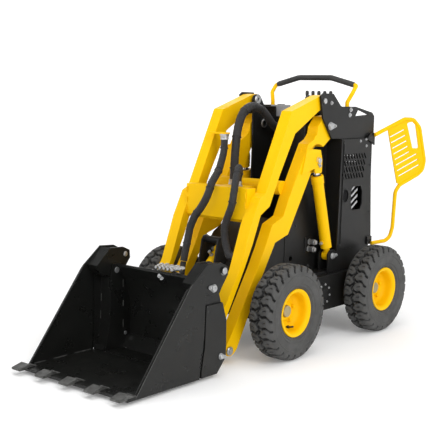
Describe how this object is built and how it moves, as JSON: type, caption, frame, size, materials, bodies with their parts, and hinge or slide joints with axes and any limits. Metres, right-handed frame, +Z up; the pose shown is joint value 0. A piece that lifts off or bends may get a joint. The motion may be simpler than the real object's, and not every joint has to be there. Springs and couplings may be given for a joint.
{
  "type": "mini wheel loader",
  "caption": "Stand-on mini wheel loader with parallel lift arms, a clamshell bucket with teeth, hydraulic cylinders, hand bar, hip guards and industrial tyres.",
  "frame": {"origin": "on the ground under the middle of the machine", "axes": "+X forward, +Y left, +Z up"},
  "size_m": [2.3944, 0.928, 1.3914],
  "materials": {
    "black_paint": "satin black powder coat",
    "yellow_paint": "gloss yellow powder coat",
    "zinc_steel": "zinc plated",
    "chrome_rod": "ground and plated",
    "tyre": "black rubber",
    "black_plastic": "moulded",
    "foam_grip": "foam sleeve",
    "hose_sleeve": "woven sleeve",
    "worn_steel": "black, worn at the tips",
    "engine_block": "plain"
  },
  "bodies": {
    "chassis": {"chassis_tub": "black_paint", "front_box": "black_paint", "left_tower": "black_paint", "right_tower": "black_paint", "left_side_panel": "black_paint", "right_side_panel": "black_paint", "rear_panel": "black_paint", "front_panel": "black_paint", "console_deck": "black_paint", "engine": "engine_block", "chain_cases": "black_paint", "stub_axles": "zinc_steel", "tower_pins": "zinc_steel", "hand_bar": "yellow_paint", "hand_grip": "foam_grip", "control_levers": "black_plastic", "hip_guards": "yellow_paint", "rear_step": "black_paint", "arch_hose": "hose_sleeve"},
    "lower_arms": {"lower_arms": "yellow_paint"},
    "upper_arms": {"upper_arms": "yellow_paint", "arm_hose": "hose_sleeve", "tilt_hose": "hose_sleeve"},
    "yoke": {"yoke": "black_paint", "yoke_pin": "zinc_steel", "toe_pins": "zinc_steel", "toe_hose": "hose_sleeve"},
    "lift_barrels": {"lift_barrels": "yellow_paint"},
    "lift_rods": {"lift_rods": "chrome_rod"},
    "tilt_barrel": {"tilt_barrel": "yellow_paint"},
    "tilt_rod": {"tilt_rod": "chrome_rod"},
    "bucket": {"hitch": "black_paint", "mouldboard": "black_paint", "jaw_pins": "zinc_steel", "bucket_hose": "hose_sleeve"},
    "jaw": {"jaw": "black_paint", "teeth": "worn_steel"},
    "jaw_barrels": {"jaw_barrels": "black_paint"},
    "jaw_rods": {"jaw_rods": "chrome_rod"},
    "front_left_wheel": {"front_left_tyre": "tyre", "front_left_rim": "yellow_paint"},
    "front_right_wheel": {"front_right_tyre": "tyre", "front_right_rim": "yellow_paint"},
    "rear_left_wheel": {"rear_left_tyre": "tyre", "rear_left_rim": "yellow_paint"},
    "rear_right_wheel": {"rear_right_tyre": "tyre", "rear_right_rim": "yellow_paint"}
  },
  "joints": [
    {"name": "front_left_spin", "type": "hinge", "parent": "chassis", "child": "front_left_wheel", "pos_m": [0.11153, 0.395, 0.235], "axis": [0, 1, 0], "continuous": true},
    {"name": "front_right_spin", "type": "hinge", "parent": "chassis", "child": "front_right_wheel", "pos_m": [0.11153, -0.395, 0.235], "axis": [0, 1, 0], "continuous": true},
    {"name": "rear_left_spin", "type": "hinge", "parent": "chassis", "child": "rear_left_wheel", "pos_m": [-0.69347, 0.395, 0.235], "axis": [0, 1, 0], "continuous": true},
    {"name": "rear_right_spin", "type": "hinge", "parent": "chassis", "child": "rear_right_wheel", "pos_m": [-0.69347, -0.395, 0.235], "axis": [0, 1, 0], "continuous": true},
    {"name": "lift", "type": "hinge", "parent": "chassis", "child": "lower_arms", "pos_m": [-0.39097, 0, 1.122], "axis": [0, -1, 0], "range_deg": [0, 75], "deforming": ["arch_hose", "toe_hose"]},
    {"name": "upper_arms_follow", "type": "hinge", "parent": "chassis", "child": "upper_arms", "pos_m": [-0.33097, 0, 1.252], "axis": [0, -1, 0], "range_deg": [-0.5, 75.5]},
    {"name": "yoke_level", "type": "hinge", "parent": "upper_arms", "child": "yoke", "pos_m": [0.44703, 0, 0.196], "axis": [0, -1, 0], "range_deg": [-75.5, 0.5]},
    {"name": "bucket_tilt", "type": "hinge", "parent": "yoke", "child": "bucket", "pos_m": [0.38703, 0, 0.066], "axis": [0, 1, 0], "range_deg": [-20, 42], "deforming": ["bucket_hose"]},
    {"name": "jaw_open", "type": "hinge", "parent": "bucket", "child": "jaw", "pos_m": [0.62103, 0, 0.42], "axis": [0, -1, 0], "range_deg": [0, 60]},
    {"name": "lift_barrel_swing", "type": "hinge", "parent": "chassis", "child": "lift_barrels", "pos_m": [-0.44097, 0, 0.428], "axis": [0, -1, 0], "range_deg": [-3.9, 0.5]},
    {"name": "lift_rod_slide", "type": "slide", "parent": "lift_barrels", "child": "lift_rods", "axis": [0.2574, 0, 0.9663], "range_m": [-0.003, 0.2395]},
    {"name": "tilt_barrel_swing", "type": "hinge", "parent": "yoke", "child": "tilt_barrel", "pos_m": [0.16403, 0, 0.5], "axis": [0, -1, 0], "range_deg": [-1.4, 2.39]},
    {"name": "tilt_rod_slide", "type": "slide", "parent": "tilt_barrel", "child": "tilt_rod", "axis": [0.7377, 0, -0.6752], "range_m": [-0.0616, 0.126]},
    {"name": "jaw_barrel_swing", "type": "hinge", "parent": "bucket", "child": "jaw_barrels", "pos_m": [0.56403, 0, 0.095], "axis": [0, -1, 0], "range_deg": [-0.5, 6.21]},
    {"name": "jaw_rod_slide", "type": "slide", "parent": "jaw_barrels", "child": "jaw_rods", "axis": [-0.0252, 0, 0.9997], "range_m": [-0.0943, 0.003]}
  ],
  "couplings": [
    {"joint": "upper_arms_follow", "follows": "lift", "ratio": 1},
    {"joint": "yoke_level", "follows": "lift", "ratio": -1},
    {"joint": "lift_barrel_swing", "follows": "lift", "ratio": -0.045299},
    {"joint": "lift_rod_slide", "follows": "lift", "m_per_rad": 0.18069},
    {"joint": "tilt_barrel_swing", "follows": "bucket_tilt", "ratio": 0.045},
    {"joint": "tilt_rod_slide", "follows": "bucket_tilt", "m_per_rad": 0.16776},
    {"joint": "jaw_barrel_swing", "follows": "jaw_open", "ratio": 0.095195},
    {"joint": "jaw_rod_slide", "follows": "jaw_open", "m_per_rad": -0.08716}
  ]
}
